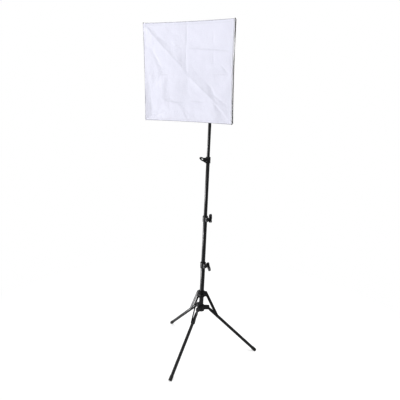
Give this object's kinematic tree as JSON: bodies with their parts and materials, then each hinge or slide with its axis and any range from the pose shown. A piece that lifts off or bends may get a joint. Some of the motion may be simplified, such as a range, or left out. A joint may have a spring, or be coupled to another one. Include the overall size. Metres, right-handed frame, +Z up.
{
  "type": "studio softbox",
  "caption": "Square softbox with white front cloth on a tilting lamp holder, on a telescopic light stand with reverse-folding tripod legs.",
  "frame": {"origin": "on the floor, under the middle of the whole object's bounding box", "axes": "+Z up along the column; the lamp faces -Y; +X to the lamp's left, which is the viewer's right when facing its front"},
  "size_m": [0.6792, 0.6204, 2.0391],
  "materials": {
    "black_coated_tube": "satin",
    "black_nylon": "matte",
    "black_steel_bar": "satin",
    "bright_steel": "satin",
    "cast_alloy": "satin",
    "black_rubber": "matte",
    "black_fabric": "matte",
    "white_diffusion_cloth": "matte",
    "white_fibreglass": "satin",
    "white_socket": "gloss",
    "nickelled_cap": "satin",
    "white_lamp_plastic": "gloss",
    "phosphor_glass": "gloss",
    "switch_red": "gloss"
  },
  "bodies": {
    "base": {"base_tube": "black_coated_tube", "leg_hub": "black_nylon", "clamp_collar_lower": "black_nylon", "leg_rivet_right": "bright_steel", "leg_rivet_back": "bright_steel", "leg_rivet_front": "bright_steel"},
    "slider": {"slider_hub": "black_nylon", "strut_rivet_right": "bright_steel", "strut_rivet_back": "bright_steel", "strut_rivet_front": "bright_steel"},
    "slider_lock": {"slider_knob": "black_nylon"},
    "section_2": {"section_2_tube": "black_coated_tube", "clamp_collar_middle": "black_nylon"},
    "section_3": {"section_3_tube": "black_coated_tube", "clamp_collar_upper": "black_nylon"},
    "section_4": {"section_4_tube": "black_coated_tube", "top_spigot": "bright_steel"},
    "bracket": {"bracket_base": "black_nylon"},
    "bracket_lock": {"bracket_lock_knob": "black_nylon"},
    "tilt_clamp": {"tilt_bolt": "bright_steel", "tilt_knob": "black_nylon"},
    "head": {"lamp_housing": "black_nylon", "housing_rear_cap": "black_nylon", "power_inlet": "black_nylon", "mounting_ring": "cast_alloy", "lamp_socket": "white_socket", "softbox_shell": "black_fabric", "front_diffuser": "white_diffusion_cloth", "rod_top_left": "white_fibreglass", "rod_top_right": "white_fibreglass", "rod_bottom_left": "white_fibreglass", "rod_bottom_right": "white_fibreglass"},
    "bulb": {"bulb_cap": "nickelled_cap", "bulb_ballast": "white_lamp_plastic", "bulb_spiral": "phosphor_glass"},
    "rocker": {"power_switch": "switch_red"},
    "leg_right": {"leg_tube_right": "black_coated_tube", "leg_plug_right": "black_nylon", "rubber_foot_right": "black_rubber", "strut_bush_right": "bright_steel"},
    "strut_right": {"strut_bar_right_a": "black_steel_bar", "strut_bar_right_b": "black_steel_bar"},
    "leg_back": {"leg_tube_back": "black_coated_tube", "leg_plug_back": "black_nylon", "rubber_foot_back": "black_rubber", "strut_bush_back": "bright_steel"},
    "strut_back": {"strut_bar_back_a": "black_steel_bar", "strut_bar_back_b": "black_steel_bar"},
    "leg_front": {"leg_tube_front": "black_coated_tube", "leg_plug_front": "black_nylon", "rubber_foot_front": "black_rubber", "strut_bush_front": "bright_steel"},
    "strut_front": {"strut_bar_front_a": "black_steel_bar", "strut_bar_front_b": "black_steel_bar"},
    "clamp_lower": {"clamp_knob_lower": "black_nylon", "clamp_screw_lower": "bright_steel"},
    "clamp_middle": {"clamp_knob_middle": "black_nylon", "clamp_screw_middle": "bright_steel"},
    "clamp_upper": {"clamp_knob_upper": "black_nylon", "clamp_screw_upper": "bright_steel"}
  },
  "joints": [
    {"name": "section_2_slide", "type": "slide", "parent": "base", "child": "section_2", "axis": [0, 0, 1], "range_m": [-0.265, 0]},
    {"name": "section_3_slide", "type": "slide", "parent": "section_2", "child": "section_3", "axis": [0, 0, 1], "range_m": [-0.29, 0]},
    {"name": "section_4_slide", "type": "slide", "parent": "section_3", "child": "section_4", "axis": [0, 0, 1], "range_m": [-0.31, 0]},
    {"name": "clamp_lower_turn", "type": "hinge", "parent": "base", "child": "clamp_lower", "pos_m": [0.00548, 0.068, 0.611], "axis": [0.5736, 0.8192, 0], "range_deg": [0, 360]},
    {"name": "clamp_middle_turn", "type": "hinge", "parent": "section_2", "child": "clamp_middle", "pos_m": [0.00425, 0.06886, 0.923], "axis": [0.5736, 0.8192, 0], "range_deg": [0, 360]},
    {"name": "clamp_upper_turn", "type": "hinge", "parent": "section_3", "child": "clamp_upper", "pos_m": [-0.03528, 0.07307, 1.3], "axis": [0.4226, -0.9063, 0], "range_deg": [0, 360]},
    {"name": "leg_fold", "type": "hinge", "parent": "base", "child": "leg_right", "pos_m": [0.0282, 0.10304, 0.31], "axis": [0.4289, -0.9033, 0], "range_deg": [0, 132]},
    {"name": "leg_back_fold", "type": "hinge", "parent": "base", "child": "leg_back", "pos_m": [-0.05467, 0.10971, 0.31], "axis": [0.5678, 0.8231, 0], "range_deg": [0, 132.05]},
    {"name": "leg_front_fold", "type": "hinge", "parent": "base", "child": "leg_front", "pos_m": [-0.01901, 0.0346, 0.31], "axis": [-0.9968, 0.0802, 0], "range_deg": [0, 132.05]},
    {"name": "slider_rise", "type": "slide", "parent": "base", "child": "slider", "axis": [0, 0, 1], "range_m": [0, 0.16021]},
    {"name": "strut_right_swing", "type": "hinge", "parent": "slider", "child": "strut_right", "pos_m": [0.01375, 0.09618, 0.41], "axis": [0.4289, -0.9033, 0], "range_deg": [-21.33, 0]},
    {"name": "strut_back_swing", "type": "hinge", "parent": "slider", "child": "strut_back", "pos_m": [-0.0415, 0.10062, 0.41], "axis": [0.5678, 0.8231, 0], "range_deg": [-21.33, 0]},
    {"name": "strut_front_swing", "type": "hinge", "parent": "slider", "child": "strut_front", "pos_m": [-0.01773, 0.05055, 0.41], "axis": [-0.9968, 0.0802, 0], "range_deg": [-21.33, 0]},
    {"name": "slider_knob_turn", "type": "hinge", "parent": "slider", "child": "slider_lock", "pos_m": [0.01105, 0.0641, 0.414], "axis": [0.8192, -0.5736, 0], "range_deg": [0, 360]},
    {"name": "bracket_pan", "type": "hinge", "parent": "section_4", "child": "bracket", "pos_m": [-0.01516, 0.08245, 1.7], "axis": [0, 0, 1], "continuous": true},
    {"name": "bracket_lock_turn", "type": "hinge", "parent": "bracket", "child": "bracket_lock", "pos_m": [-0.04016, 0.08245, 1.7], "axis": [-1, 0, 0], "range_deg": [0, 360]},
    {"name": "head_tilt", "type": "hinge", "parent": "bracket", "child": "head", "pos_m": [-0.01516, 0.08245, 1.762], "axis": [1, 0, 0], "range_deg": [-90, 40]},
    {"name": "tilt_knob_turn", "type": "hinge", "parent": "bracket", "child": "tilt_clamp", "pos_m": [0.00684, 0.08245, 1.762], "axis": [1, 0, 0], "range_deg": [0, 360]},
    {"name": "power_rocker", "type": "hinge", "parent": "head", "child": "rocker", "pos_m": [-0.01516, 0.13616, 1.83646], "axis": [1, 0, 0], "range_deg": [0, 14]},
    {"name": "bulb_unscrew", "type": "slide", "parent": "head", "child": "bulb", "axis": [0, -0.9962, -0.0872], "range_m": [0, 0.034]}
  ],
  "couplings": [
    {"joint": "leg_back_fold", "follows": "leg_fold", "ratio": 1},
    {"joint": "leg_front_fold", "follows": "leg_fold", "ratio": 1},
    {"joint": "slider_rise", "follows": "leg_fold", "m_per_rad": 0.069497},
    {"joint": "strut_right_swing", "follows": "leg_fold", "ratio": -0.16119},
    {"joint": "strut_back_swing", "follows": "leg_fold", "ratio": -0.16119},
    {"joint": "strut_front_swing", "follows": "leg_fold", "ratio": -0.16119}
  ]
}
